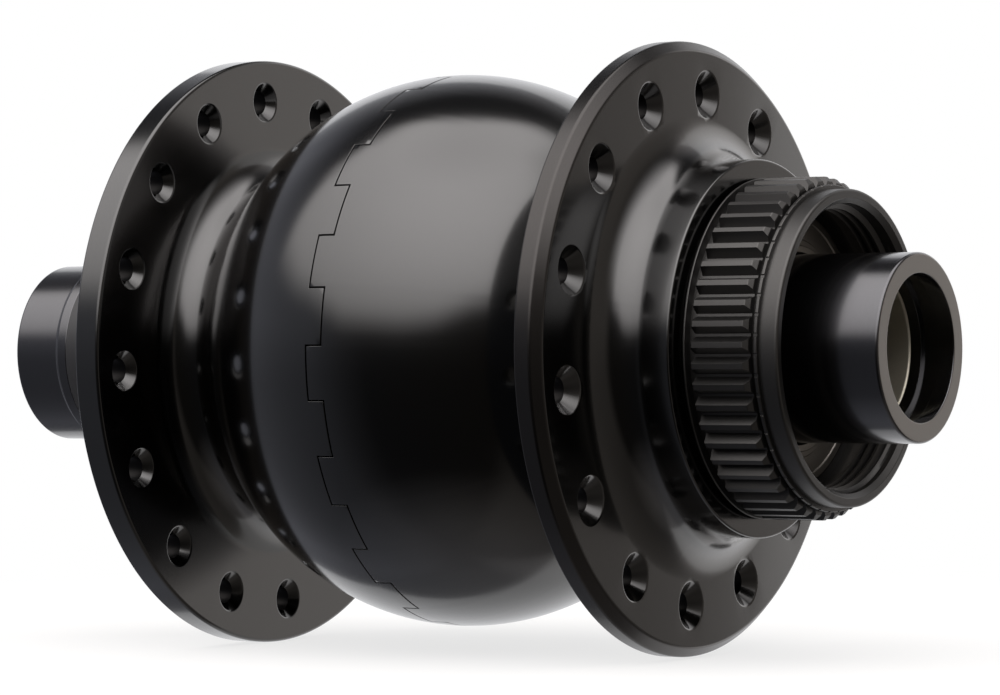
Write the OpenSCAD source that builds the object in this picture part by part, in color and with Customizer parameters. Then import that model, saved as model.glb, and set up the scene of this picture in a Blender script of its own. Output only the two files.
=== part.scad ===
// Hub dynamo for a disc-brake front wheel on a 15 mm thru axle.
// The axle lies along X, with the disc rotor's side at +X and +Z up.
// The origin is at the middle of the axle. All sizes are in millimetres.

/* [Axle] */
// Width of the hub between the fork ends
over_ends = 110; // [108:0.5:116]
// Bore for the fork's thru axle
thru_bore_d = 15; // [14.4:0.1:15.2]
// Outside diameter of the axle tube, which its bearings sit on
axle_d = 17; // [16.8:0.1:17.4]
// How far the axle tube stops short of each end cap's face
axle_setback = 5; // [3.6:0.1:6]
// Outside diameter of the end cap on the rotor side
right_cap_d = 19.6; // [19:0.1:19.8]
// Outside diameter of the end cap on the generator's side
left_cap_d = 20; // [19.2:0.1:20.2]
// Outside diameter of the collar behind the left end cap
collar_d = 20.8; // [20.6:0.1:21.6]
// Length of the narrow part of the left end cap
left_cap_l = 5.8; // [5.2:0.1:6.4]
// Bore at the mouth of each end cap
cap_mouth_d = 15.3; // [15.2:0.1:15.8]

/* [Shell] */
// Largest diameter of the barrel that holds the generator
barrel_d = 60; // [59.4:0.1:61]
// Radius of the barrel's outline along the axle
barrel_curve_r = 27; // [26:0.1:29]
// How far the widest part of the barrel lies from the middle of the axle
barrel_shift = 0.5; // [0:0.1:0.8]
// Diameter of the necks between the barrel and the flanges
neck_d = 38.4; // [38:0.1:40]
// Radius of the fillet between a neck and its flange
neck_fillet_r = 3.8; // [2.5:0.1:4.2]
// Diameter of the bearing boss outside the left flange
boss_d = 33; // [32:0.1:36]
// Where the boss on the left ends, from the middle of the axle
boss_end_x = 34.6; // [34.4:0.1:35]

/* [Seam] */
// Interlocking teeth around the seam between the two half shells
castellations = 16; // [8:1:24]
// Length of those teeth along the axle
castellation_l = 1.9; // [1:0.1:3]
// Middle of the seam along the axle
seam_x = 0.25; // [0:0.05:1]
// Open line between the two half shells
seam_gap = 0.15; // [0.1:0.01:0.25]

/* [Flanges] */
// Outside diameter of the left flange
left_flange_d = 65.3; // [64.6:0.1:68]
// Outside diameter of the right flange
right_flange_d = 64.9; // [64.6:0.1:68]
// Thickness of the left flange
left_flange_t = 3; // [2.8:0.1:3.6]
// Inner face of the left flange, from the middle of the axle
left_flange_x = 25.6; // [25.4:0.1:26.4]
// Thickness of the right flange
right_flange_t = 2.8; // [2.6:0.1:3.4]
// Inner face of the right flange, from the middle of the axle
right_flange_x = 26.2; // [26:0.1:27]
// Rounding of the left flange's edge that faces the rotor
left_flange_round_r = 0.35; // [0.2:0.05:0.8]
// Rounding of the right flange's edge that faces the rotor
right_flange_round_r = 1.6; // [1:0.1:1.8]
// Spoke holes in the left flange
left_spokes = 16; // [12:1:18]
// Spoke holes in the right flange
right_spokes = 14; // [12:1:18]
// Pitch circle of the left spoke holes
left_spoke_pcd = 56; // [55:0.5:58]
// Pitch circle of the right spoke holes
right_spoke_pcd = 54; // [53:0.5:57]
// Diameter of a spoke hole
spoke_hole_d = 2.6; // [2.4:0.1:2.8]
// Diameter of the countersink of a spoke hole in the left flange
left_spoke_sink_d = 4.4; // [3.6:0.1:4.8]
// Diameter of the countersink of a spoke hole in the right flange
right_spoke_sink_d = 5.1; // [4:0.1:5.2]

/* [Rotor seat] */
// Diameter of the shoulder that the rotor's carrier stops against
shoulder_d = 39.6; // [38.6:0.1:42]
// Face of that shoulder, from the middle of the axle
shoulder_x = 36.6; // [36.2:0.1:37]
// Radius of the fillet between the right flange and the shoulder
cone_fillet_r = 4.6; // [4:0.1:4.7]
// Teeth of the spline
spline_teeth = 52; // [40:1:54]
// Diameter over the spline's teeth
spline_d = 35.6; // [35.2:0.1:36.2]
// Depth of the spline's teeth
spline_depth = 1; // [0.6:0.05:1]
// Width of a spline tooth at its crest
spline_crest_w = 0.55; // [0.4:0.05:0.7]
// Where the spline's teeth start, from the middle of the axle
spline_start_x = 38; // [37.8:0.1:38.6]
// Where the spline's teeth end, from the middle of the axle
spline_end_x = 44.4; // [44:0.1:44.8]
// Wall of the smooth rim round the lockring's socket
rim_wall = 1.45; // [1.3:0.05:1.6]
// Open end of the rim, from the middle of the axle
rim_x = 47.15; // [46.8:0.05:49]
// Bore of the lockring's socket, the major diameter of its thread
lockring_d = 30; // [29.6:0.1:30.4]

/* [Generator] */
// Magnets around the rotor, two for each claw of one plate
magnets = 26; // [20:2:28]
// Wall of the barrel round the magnets' steel ring
barrel_wall = 3; // [2.7:0.1:3.2]
// Wall of the steel ring
yoke_wall = 0.8; // [0.6:0.1:1]
// Radial thickness of a magnet
magnet_t = 2; // [1.6:0.1:2.2]
// Length of the magnets and their ring along the axle
magnet_l = 16; // [14:0.5:17]
// Gap between neighbouring magnets
magnet_gap = 0.4; // [0.2:0.1:0.8]
// Air gap between magnets and claws
air_gap = 0.3; // [0.25:0.05:0.5]
// Thickness of a claw plate
claw_plate_t = 1.5; // [1:0.1:1.8]
// Thickness of a claw
claw_t = 1.5; // [1.2:0.1:1.8]
// Width of a claw at its root
claw_root_w = 4.8; // [4:0.1:5]
// Width of a claw at its tip
claw_tip_w = 3.2; // [2.4:0.1:4]
// Diameter of the iron core inside the coil
core_d = 22; // [21:0.1:23]
// Wall of the coil's bobbin
bobbin_wall = 0.8; // [0.6:0.1:1]
// Diameter over the coil's winding
coil_d = 42; // [38:0.5:43]
// Width of the nut that clamps the stator
stator_nut_w = 3; // [2:0.1:4]

/* [Bearings] */
// Outside diameter of a bearing
bearing_d = 26; // [25.8:0.1:26.4]
// Width of a bearing
bearing_w = 5; // [4.6:0.1:5.2]
// Inner end of the left bearing, from the middle of the axle
left_bearing_x = 26; // [25.6:0.1:26.4]
// Inner end of the right bearing, from the middle of the axle
right_bearing_x = 33.7; // [33.4:0.1:33.9]
// Balls in each bearing
balls = 18; // [12:1:20]
// Diameter of a ball
ball_d = 2.4; // [2.2:0.1:2.5]
// Gap between the two rings of a bearing
ring_gap = 1.4; // [1.3:0.1:1.6]

/* [Connector] */
// Width of the connector's shroud across the axle
shroud_w = 12.4; // [11.6:0.1:14]
// Length of the shroud along the axle
shroud_l = 8.8; // [8.4:0.1:9.2]
// Height of the shroud's open end above the axle's middle
shroud_top = 17; // [15:0.1:20]
// Wall of the shroud
shroud_wall = 1.2; // [0.8:0.1:1.2]
// Width of a contact blade
blade_w = 4.8; // [4:0.1:5.2]
// Thickness of a contact blade
blade_t = 0.8; // [0.5:0.1:1]
// Distance between the two blades' middles
blade_pitch = 5.2; // [5:0.1:6]

/* [Hidden] */
$fn = 96;

// Small amount by which a cutting shape runs past what it cuts
past = 1;
// Clearance between the turning hub and what stands still
run_gap = 0.35;
far_r = 60;

half_l = over_ends / 2;
bore_r = thru_bore_d / 2;
axle_r = axle_d / 2;
axle_half_l = half_l - axle_setback;
barrel_centre_r = barrel_d / 2 - barrel_curve_r;
neck_r = neck_d / 2;
// Half the stretch of barrel outline that stands above the necks
barrel_half_l = sqrt(pow(barrel_curve_r, 2) - pow(neck_r - barrel_centre_r, 2));
seam_low_x = seam_x - castellation_l / 2;
seam_high_x = seam_x + castellation_l / 2;
castle_turn = 6.9;
left_spoke_turn = -4;
right_spoke_turn = -8.6;
spline_turn = 1.3;

left_flange_r = left_flange_d / 2;
right_flange_r = right_flange_d / 2;
left_flange_back = left_flange_x + left_flange_t;
right_flange_face = right_flange_x + right_flange_t;
shoulder_r = shoulder_d / 2;
spline_r = spline_d / 2;
spline_root_r = spline_r - spline_depth;
spline_chamfer = 0.8;
// How far the side of a spline tooth leans out for each unit of its depth
spline_lean = 0.66;
collar_groove_w = 0.5;
collar_groove_r = spline_root_r - 0.1;
collar_lip_w = 0.25;
end_groove_w = 0.3;
ridge_w = 0.4;
ridge_r = spline_root_r + 0.12;
rim_chamfer = 0.3;

bearing_r = bearing_d / 2;
race_r = (axle_r + bearing_r) / 2;
ball_play = 0.05;
pocket_play = 0.07;
land_in_r = race_r - ring_gap / 2;
land_out_r = race_r + ring_gap / 2;
seal_t = 0.45;
seal_inset = 0.1;
circlip_t = 0.9;
circlip_depth = 0.6;
cover_t = 0.8;
left_circlip_x = left_bearing_x + bearing_w;
right_circlip_x = right_bearing_x + bearing_w;
left_cover_x = left_circlip_x + circlip_t + 0.8;
right_cover_x = right_circlip_x + circlip_t;
cover_r = bearing_r + 1.4;
socket_floor_x = right_cover_x + cover_t;
lockring_r = lockring_d / 2;
rim_r = lockring_r + rim_wall;
undercut_w = 1.2;
undercut_depth = 0.4;

yoke_r = barrel_d / 2 - barrel_wall;
magnet_out_r = yoke_r - yoke_wall;
magnet_in_r = magnet_out_r - magnet_t;
claw_r = magnet_in_r - air_gap;
stator_half_l = magnet_l / 2;
stack_half_l = stator_half_l + claw_plate_t;
claws = magnets / 2;
claw_l = magnet_l - 1;
core_r = core_d / 2;
bobbin_r = core_r + bobbin_wall;
coil_half_l = stator_half_l - bobbin_wall;
coil_r = coil_d / 2;
nut_x = stack_half_l + stator_nut_w;
nut_r = axle_r + 4;
spacer_r = land_in_r - 0.4;
cavity_wall = 0.7;
yoke_room_l = stator_half_l + 0.5;
stator_room_r = claw_r + cavity_wall;
stator_room_l = stack_half_l + 1.6;
nut_room_r = nut_r + 4.4;
nut_room_l = 20.2;
abutment_r = bearing_r - 1;

collar_r = collar_d / 2;
collar_x = half_l - left_cap_l - 1.7;
housing_x = 36.2;
shroud_x = housing_x + 1.2;
cap_mouth_r = cap_mouth_d / 2;
cap_relief_r = cap_mouth_r + 0.5;
left_o_ring_x = (collar_x + axle_half_l) / 2;
right_o_ring_x = axle_half_l - 4;
o_ring_w = 1;
o_ring_r = 0.38;
o_ring_seat = 0.42;
lead_w = 1;
lead_t = 0.4;
lead_pitch = 1.8;
lead_groove_w = 3.4;
lead_groove_depth = 0.6;
blade_foot_t = 0.5;

// Turns a profile of [radius, place along the axle] round the axle
module turned(angle = 360) {
    rotate([0, 90, 0]) rotate_extrude(angle = angle) children();
}

// A ring of rectangular section
module ring(inner_r, outer_r, x0, x1) {
    turned() translate([inner_r, x0]) square([outer_r - inner_r, x1 - x0]);
}

// A shape repeated round the axle; turn is measured from -Y towards +Z
module around(count, turn) {
    for (i = [0 : count - 1]) rotate([-turn - i * 360 / count, 0, 0]) children();
}

// A sector of the given angle round -Y, from inner_r outwards
module sector(angle, inner_r, x0, x1) {
    slope = tan(angle / 2);
    translate([x0, 0, 0]) rotate([0, 90, 0]) linear_extrude(x1 - x0)
        polygon([[inner_r * slope, -inner_r], [-inner_r * slope, -inner_r],
            [-far_r * slope, -far_r], [far_r * slope, -far_r]]);
}

// Outline of a disc whose outer corner at the end x1 is rounded
module rounded_disc(r, x0, x1, round_r) {
    side = x1 > x0 ? 1 : -1;
    low_x = min(x0, x1 - side * round_r);
    translate([0, low_x]) square([r, abs(x1 - side * round_r - x0)]);
    translate([0, min(x0, x1)]) square([r - round_r, abs(x1 - x0)]);
    translate([r - round_r, x1 - side * round_r]) circle(round_r);
}

// Outline of a concave fillet that starts on the radius r at x and widens towards side
module fillet(r, x, fillet_r, side) {
    difference() {
        translate([r - 0.01, side > 0 ? x : x - fillet_r]) square([fillet_r, fillet_r]);
        translate([r + fillet_r, x]) circle(fillet_r);
    }
}

// Barrel between the two necks, cut off at x0 and x1
module barrel_outline(x0, x1) {
    intersection() {
        translate([barrel_centre_r, barrel_shift]) circle(barrel_curve_r);
        translate([0, x0]) square([far_r, x1 - x0]);
    }
}

// Room inside the shells, on the side that side names
module room_outline(side, bearing_x) {
    mirror([0, side > 0 ? 0 : 1]) {
        translate([0, -past]) square([yoke_r, yoke_room_l + past]);
        square([stator_room_r, stator_room_l]);
        square([nut_room_r, nut_room_l]);
        square([abutment_r, bearing_x + past]);
    }
}

// Spoke holes through a flange, countersunk on the face at face_x
module spoke_holes(count, turn, pcd, back_x, face_x, sink_d) {
    sink_depth = (sink_d - spoke_hole_d) / 2;
    around(count, turn) translate([0, -pcd / 2, 0]) rotate([0, 90, 0]) {
        translate([0, 0, back_x - past]) cylinder(h = face_x - back_x + 2 * past, d = spoke_hole_d);
        translate([0, 0, face_x - sink_depth])
            cylinder(h = sink_depth, d1 = spoke_hole_d, d2 = sink_d);
        translate([0, 0, face_x]) cylinder(h = past, d = sink_d);
    }
}

// Teeth of the left half shell, each widened by gap on every side
module castle_teeth(gap) {
    tooth_angle = 180 / castellations;
    gap_angle = gap / (barrel_d / 2) * 180 / PI;
    around(castellations, castle_turn)
        sector(tooth_angle + 2 * gap_angle, yoke_r - 2, seam_low_x - past, seam_high_x + gap);
}

module left_shell() color("#141416") {
    difference() {
        turned() difference() {
            union() {
                barrel_outline(-barrel_half_l + barrel_shift, seam_low_x);
                translate([0, -left_flange_back])
                    square([neck_r, left_flange_back - barrel_half_l + barrel_shift + 0.01]);
                fillet(neck_r, neck_fillet_r - left_flange_x, neck_fillet_r, -1);
                rounded_disc(left_flange_r, -left_flange_back, -left_flange_x, left_flange_round_r);
                fillet(boss_d / 2, -left_flange_back - 2, 2, 1);
                translate([0, -boss_end_x]) square([boss_d / 2, boss_end_x - left_flange_back]);
            }
            room_outline(-1, left_bearing_x);
            translate([0, -boss_end_x - past]) square([bearing_r, boss_end_x + past - left_bearing_x]);
            translate([0, -left_circlip_x - circlip_t])
                square([bearing_r + circlip_depth, circlip_t]);
            translate([0, -boss_end_x - past]) square([cover_r, boss_end_x + past - left_cover_x]);
        }
        spoke_holes(left_spokes, left_spoke_turn, left_spoke_pcd, -left_flange_back, -left_flange_x,
            left_spoke_sink_d);
    }
    intersection() {
        turned() difference() {
            barrel_outline(seam_low_x - 0.01, seam_high_x);
            translate([0, seam_low_x - past]) square([yoke_r, castellation_l + 2 * past]);
        }
        castle_teeth(0);
    }
}

// Outline of the rotor seat from the shoulder to the open rim
module rotor_seat_outline() {
    groove_end = shoulder_x + collar_groove_w;
    ridge_x = spline_end_x + end_groove_w;
    translate([0, right_flange_face]) square([shoulder_r, shoulder_x - right_flange_face]);
    translate([0, shoulder_x - past]) square([collar_groove_r, spline_start_x + 2 * past - shoulder_x]);
    translate([0, groove_end]) square([spline_r, collar_lip_w]);
    polygon([[0, spline_start_x], [spline_r, spline_start_x], [spline_r, spline_end_x - spline_chamfer],
        [spline_r - spline_chamfer, spline_end_x], [0, spline_end_x]]);
    translate([0, spline_end_x - past]) square([rim_r, past + end_groove_w + ridge_w]);
    translate([0, ridge_x]) square([ridge_r, ridge_w]);
    polygon([[0, ridge_x], [rim_r, ridge_x], [rim_r, rim_x - rim_chamfer],
        [rim_r - rim_chamfer, rim_x], [0, rim_x]]);
}

// One groove between two teeth of the spline, at -Y
module spline_groove() {
    pitch = PI * spline_d / spline_teeth;
    top_half = (pitch - spline_crest_w) / 2;
    root_half = top_half - spline_depth * spline_lean;
    over_half = top_half + 0.5 * spline_lean;
    start_x = spline_start_x - 0.3;
    translate([start_x, 0, 0]) rotate([0, 90, 0])
        linear_extrude(spline_end_x + end_groove_w + ridge_w - start_x)
            polygon([[-root_half, -spline_root_r], [root_half, -spline_root_r],
                [over_half, -spline_r - 0.5], [-over_half, -spline_r - 0.5]]);
}

module right_shell_body() {
    difference() {
        turned() difference() {
            union() {
                barrel_outline(seam_low_x + seam_gap, barrel_half_l + barrel_shift);
                translate([0, barrel_half_l + barrel_shift - 0.01])
                    square([neck_r, right_flange_x - barrel_half_l - barrel_shift + past]);
                fillet(neck_r, right_flange_x - neck_fillet_r, neck_fillet_r, 1);
                rounded_disc(right_flange_r, right_flange_x, right_flange_face, right_flange_round_r);
                fillet(shoulder_r, right_flange_face + cone_fillet_r, cone_fillet_r, -1);
                rotor_seat_outline();
            }
            room_outline(1, right_bearing_x);
            translate([0, right_bearing_x]) square([bearing_r, rim_x]);
            translate([0, right_circlip_x]) square([bearing_r + circlip_depth, circlip_t]);
            translate([0, right_cover_x]) square([cover_r, rim_x]);
            translate([0, socket_floor_x]) square([lockring_r + undercut_depth, undercut_w]);
            translate([0, socket_floor_x]) square([lockring_r, rim_x]);
            polygon([[0, rim_x + 0.01], [lockring_r + 0.51, rim_x + 0.01], [lockring_r, rim_x - 0.5],
                [0, rim_x - 0.5]]);
        }
        spoke_holes(right_spokes, right_spoke_turn, right_spoke_pcd, right_flange_x, right_flange_face,
            right_spoke_sink_d);
    }
}

module right_shell() color("#141416") difference() {
    difference() {
        right_shell_body();
        castle_teeth(seam_gap);
    }
    around(spline_teeth, spline_turn + 180 / spline_teeth) spline_groove();
}

// Rubber ring that seals the seam, in the gap beside the magnets' steel ring
module shell_seal_ring() color("#1c1c1c") {
    ring(yoke_r - 0.5, yoke_r, stator_half_l, yoke_room_l);
}

module magnet_yoke_ring() color("#8a8d90") {
    ring(magnet_out_r, yoke_r, -stator_half_l, stator_half_l);
}

module rotor_magnets() color("#5a5c60") {
    magnet_angle = 360 / magnets - magnet_gap / magnet_in_r * 180 / PI;
    around(magnets, castle_turn) intersection() {
        ring(magnet_in_r, magnet_out_r, -stator_half_l, stator_half_l);
        sector(magnet_angle, magnet_in_r - past, -stator_half_l - past, stator_half_l + past);
    }
}

// Groove that the balls roll in, centred on the bearing
module race_groove() {
    turned() translate([race_r, 0]) circle(ball_d / 2 + ball_play);
}

module bearing_outer_ring() color("#c9ccd0") difference() {
    ring(land_out_r, bearing_r, -bearing_w / 2, bearing_w / 2);
    race_groove();
}

module bearing_inner_ring() color("#c9ccd0") difference() {
    ring(axle_r, land_in_r, -bearing_w / 2, bearing_w / 2);
    race_groove();
}

// The two rubber seals of a bearing, held by its outer ring
module bearing_seals() color("#202022") for (side = [-1, 1]) {
    mid_x = side * (bearing_w / 2 - seal_inset - seal_t / 2);
    ring(land_in_r + ball_play * 2, land_out_r, mid_x - seal_t / 2, mid_x + seal_t / 2);
}

module bearing_balls() color("#d8dade") around(balls, 0) translate([0, -race_r, 0]) sphere(d = ball_d);

module bearing_cage() color("#b08d4a") {
    cage_half_l = bearing_w / 2 - seal_inset - seal_t - 0.3;
    cage_half_t = ring_gap / 2 - 0.25;
    difference() {
        ring(race_r - cage_half_t, race_r + cage_half_t, -cage_half_l, cage_half_l);
        around(balls, 0) translate([0, -race_r - ball_d, 0]) rotate([-90, 0, 0])
            cylinder(h = 2 * ball_d, d = ball_d + 2 * pocket_play);
    }
}

module at_left_bearing() translate([-left_bearing_x - bearing_w / 2, 0, 0]) children();
module at_right_bearing() translate([right_bearing_x + bearing_w / 2, 0, 0]) children();

module left_bearing_outer_ring() at_left_bearing() bearing_outer_ring();
module left_bearing_inner_ring() at_left_bearing() bearing_inner_ring();
module left_bearing_seals() at_left_bearing() bearing_seals();
module left_bearing_cage() at_left_bearing() bearing_cage();
module left_bearing_balls() at_left_bearing() bearing_balls();
module right_bearing_outer_ring() at_right_bearing() bearing_outer_ring();
module right_bearing_inner_ring() at_right_bearing() bearing_inner_ring();
module right_bearing_seals() at_right_bearing() bearing_seals();
module right_bearing_cage() at_right_bearing() bearing_cage();
module right_bearing_balls() at_right_bearing() bearing_balls();

// Spring ring that holds a bearing in its seat, open at the bottom
module circlip(x0) color("#6f7276") difference() {
    ring(bearing_r - 0.9, bearing_r + circlip_depth, x0, x0 + circlip_t);
    rotate([90, 0, 0]) sector(24, bearing_r - 2, x0 - past, x0 + circlip_t + past);
}

module left_bearing_circlip() circlip(-left_circlip_x - circlip_t);
module right_bearing_circlip() circlip(right_circlip_x);

// Pressed cover with a raised lip round the part that stands still
module dust_cover(inner_r, x0, side) color("#2a2a2d") {
    lip_l = 0.5;
    ring(inner_r, cover_r, x0, x0 + cover_t);
    ring(inner_r, inner_r + 0.8, side > 0 ? x0 : x0 - lip_l, side > 0 ? x0 + cover_t + lip_l : x0 + cover_t);
}

module left_dust_cover() dust_cover(spacer_r + run_gap, -left_cover_x - cover_t, -1);
module right_dust_cover() dust_cover(right_cap_d / 2 + run_gap, right_cover_x, 1);

// Groove along the axle tube for the two leads
module lead_groove(x0, x1) {
    translate([x0, axle_r - lead_groove_depth, -lead_groove_w / 2])
        cube([x1 - x0, lead_groove_depth + past, lead_groove_w]);
}

module axle_tube() color("#b9bcc0") difference() {
    ring(bore_r, axle_r, -axle_half_l, axle_half_l);
    for (x = [-left_o_ring_x, right_o_ring_x])
        ring(axle_r - o_ring_seat, axle_r + past, x - o_ring_w / 2, x + o_ring_w / 2);
    lead_groove(-shroud_x - shroud_l / 2 - blade_w / 2, -stator_half_l + bobbin_wall);
}

// Bore of an end cap: mouth, relief, mouth again, then the seat on the axle tube
module cap_bore(inner_x, o_ring_x) {
    relief_end = half_l - 1.8;
    translate([0, inner_x - past]) square([axle_r, axle_half_l - inner_x + past]);
    translate([0, inner_x]) square([cap_mouth_r, half_l]);
    translate([0, axle_half_l + 1.2]) square([cap_relief_r, relief_end - axle_half_l - 1.2]);
    translate([0, o_ring_x - o_ring_w / 2]) square([axle_r + o_ring_seat, o_ring_w]);
    polygon([[0, half_l - 0.15], [cap_mouth_r, half_l - 0.15], [cap_mouth_r + 0.16, half_l + 0.01],
        [0, half_l + 0.01]]);
}

module right_end_cap() color("#101012") turned() difference() {
    cap_r = right_cap_d / 2;
    polygon([[0, right_circlip_x], [cap_r, right_circlip_x], [cap_r, half_l - 0.3],
        [cap_r - 0.3, half_l], [0, half_l]]);
    cap_bore(right_circlip_x, right_o_ring_x);
}

module left_end_cap() color("#101012") mirror([1, 0, 0]) turned() difference() {
    cap_r = left_cap_d / 2;
    step_x = half_l - left_cap_l;
    polygon([[0, collar_x], [collar_r, collar_x], [collar_r, step_x - 0.5], [cap_r, step_x],
        [cap_r, half_l - 0.3], [cap_r - 0.3, half_l], [0, half_l]]);
    cap_bore(collar_x, left_o_ring_x);
}

// Rubber ring that keeps an end cap on the axle tube
module cap_o_ring(x) color("#1c1c1c") turned()
    translate([axle_r - o_ring_seat + o_ring_r + 0.02, x]) circle(o_ring_r);

module left_cap_o_ring() cap_o_ring(-left_o_ring_x);
module right_cap_o_ring() cap_o_ring(right_o_ring_x);

module left_inner_spacer() color("#9fa3a8") ring(axle_r, spacer_r, -left_bearing_x, -nut_x);
module left_outer_spacer() color("#9fa3a8") ring(axle_r, spacer_r, -housing_x, -left_circlip_x);
module right_spacer() color("#9fa3a8") ring(axle_r, spacer_r, stack_half_l, right_bearing_x);

// Round nut with four slots for a hook spanner
module stator_nut() color("#7c8085") difference() {
    ring(axle_r, nut_r, -nut_x, -stack_half_l);
    around(4, 45) translate([-nut_x - past, -nut_r - past, -1.5]) cube([stator_nut_w + 2 * past, 2.2, 3]);
}

// Slot that lets the leads rise from the axle tube to the coil
module lead_slot(x0, x1, top) {
    translate([x0, 0, -lead_groove_w / 2]) cube([x1 - x0, top, lead_groove_w]);
}

module stator_core() color("#63666b") difference() {
    ring(axle_r, core_r, -stator_half_l, stator_half_l);
    lead_slot(-stator_half_l - past, -coil_half_l, bobbin_r);
}

// A disc at -X whose rim is bent over towards +X and notched into claws
module claw_plate() color("#70747a") {
    plate_r = claw_r - claw_t;
    tip_x = claw_l - stator_half_l;
    notch_r = plate_r - 1;
    pitch = 2 * PI * claw_r / claws;
    root_half = (pitch - claw_root_w) / 2;
    tip_half = (pitch - claw_tip_w) / 2;
    difference() {
        turned() polygon([[axle_r, -stack_half_l], [claw_r, -stack_half_l], [claw_r, tip_x],
            [plate_r, tip_x], [plate_r, -stator_half_l], [axle_r, -stator_half_l]]);
        around(claws, castle_turn + 180 / claws) translate([0, -notch_r, 0]) rotate([90, 0, 0])
            linear_extrude(claw_r - notch_r + past) polygon([[-stack_half_l - past, -root_half],
                [tip_x + past, -tip_half], [tip_x + past, tip_half], [-stack_half_l - past, root_half]]);
    }
}

module left_claw_plate() claw_plate();
module right_claw_plate() rotate([180 / claws, 0, 0]) mirror([1, 0, 0]) claw_plate();

module coil_bobbin() color("#d9d4c4") difference() {
    union() {
        ring(core_r, bobbin_r, -stator_half_l, stator_half_l);
        for (side = [-1, 1]) {
            mid_x = side * (stator_half_l - bobbin_wall / 2);
            ring(core_r, coil_r + 0.3, mid_x - bobbin_wall / 2, mid_x + bobbin_wall / 2);
        }
    }
    lead_slot(-stator_half_l - past, -coil_half_l, bobbin_r + lead_w + 0.2);
}

module coil_winding() color("#b5652b") ring(bobbin_r, coil_r, -coil_half_l, coil_half_l);

// Two flat conductors from the coil along the axle tube to the connector
module lead_shapes() for (side = [-1, 1]) {
    end_x = shroud_x + shroud_l / 2;
    floor_y = axle_r - lead_groove_depth + 0.05;
    translate([0, 0, side * lead_pitch / 2 - lead_w / 2]) {
        translate([-end_x, floor_y, 0]) cube([end_x - coil_half_l, lead_t, lead_w]);
        translate([-coil_half_l - 0.5, floor_y, 0]) cube([0.5, bobbin_r + lead_w - floor_y, lead_w]);
        translate([-end_x, floor_y, 0]) cube([0.5, axle_r - floor_y, lead_w]);
    }
}

module coil_leads() color("#a8552a") lead_shapes();

module connector_housing() color("#1b1b1d") {
    base_y = axle_r + blade_foot_t;
    floor_y = axle_r + 2;
    difference() {
        union() {
            ring(axle_r, collar_r, -collar_x, -housing_x);
            translate([-shroud_x - shroud_l, axle_r - 1.6, -shroud_w / 2])
                cube([shroud_l, shroud_top - axle_r + 1.6, shroud_w]);
        }
        rotate([0, 90, 0]) cylinder(h = 2 * far_r, r = axle_r, center = true);
        translate([-shroud_x - shroud_l + shroud_wall, floor_y, -shroud_w / 2 + shroud_wall])
            cube([shroud_l - 2 * shroud_wall, shroud_top, shroud_w - 2 * shroud_wall]);
        blade_shapes();
        lead_shapes();
    }
}

// The two contacts, each a foot on its lead and a blade that stands in the shroud
module blade_shapes() for (side = [-1, 1]) {
    mid_x = -shroud_x - shroud_l / 2;
    foot_z = side > 0 ? lead_pitch / 2 - lead_w / 2 : -blade_pitch / 2 - blade_t / 2;
    foot_w = blade_pitch / 2 + blade_t / 2 - lead_pitch / 2 + lead_w / 2;
    translate([mid_x - blade_w / 2, axle_r, foot_z]) cube([blade_w, blade_foot_t, foot_w]);
    translate([mid_x - blade_w / 2, axle_r, side * blade_pitch / 2 - blade_t / 2])
        cube([blade_w, shroud_top - 1 - axle_r, blade_t]);
}

module connector_blades() color("#c8a24a") blade_shapes();

left_shell();
right_shell();
shell_seal_ring();
magnet_yoke_ring();
rotor_magnets();
left_bearing_outer_ring();
left_bearing_seals();
left_bearing_inner_ring();
left_bearing_cage();
left_bearing_balls();
right_bearing_outer_ring();
right_bearing_seals();
right_bearing_inner_ring();
right_bearing_cage();
right_bearing_balls();
left_bearing_circlip();
right_bearing_circlip();
left_dust_cover();
right_dust_cover();
axle_tube();
left_end_cap();
right_end_cap();
left_cap_o_ring();
right_cap_o_ring();
left_inner_spacer();
left_outer_spacer();
right_spacer();
stator_nut();
stator_core();
left_claw_plate();
right_claw_plate();
coil_bobbin();
coil_winding();
coil_leads();
connector_housing();
connector_blades();
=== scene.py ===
import math

import bmesh
import bpy
from mathutils import Matrix, Vector


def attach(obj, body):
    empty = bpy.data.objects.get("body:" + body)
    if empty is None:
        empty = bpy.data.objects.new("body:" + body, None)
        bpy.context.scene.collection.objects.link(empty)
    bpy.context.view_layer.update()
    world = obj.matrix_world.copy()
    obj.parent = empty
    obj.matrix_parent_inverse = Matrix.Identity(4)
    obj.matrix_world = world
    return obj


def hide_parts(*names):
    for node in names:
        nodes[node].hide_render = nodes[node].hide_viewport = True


# Hub dynamo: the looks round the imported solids.
# The axle lies along X with the rotor's side at +X, and a turn goes from -Y towards +Z.
# Settings are in millimetres and degrees unless a note says otherwise.

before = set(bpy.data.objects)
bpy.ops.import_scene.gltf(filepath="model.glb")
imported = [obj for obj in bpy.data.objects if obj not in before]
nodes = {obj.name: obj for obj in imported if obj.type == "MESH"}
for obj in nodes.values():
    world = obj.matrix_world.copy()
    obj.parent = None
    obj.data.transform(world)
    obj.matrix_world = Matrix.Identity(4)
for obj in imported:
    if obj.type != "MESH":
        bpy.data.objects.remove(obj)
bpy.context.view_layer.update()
mm = 0.001
touch = 0.01  # places or turns nearer than this count as one
weld = 0.002  # a turned piece's doubles are merged within this
print("frame loaded")


# Small tools that the pieces share

def deselectAll():
    if bpy.context.object and bpy.context.object.mode != "OBJECT":
        bpy.ops.object.mode_set(mode="OBJECT")
    bpy.ops.object.select_all(action="DESELECT")


def pick(piece):
    deselectAll()
    piece.select_set(True)
    bpy.context.view_layer.objects.active = piece


def editPiece(piece, kind):
    # Edit mode, with vertices, edges or faces as what is selected
    pick(piece)
    bpy.ops.object.mode_set(mode="EDIT")
    bpy.ops.mesh.select_mode(type=kind)


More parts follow.
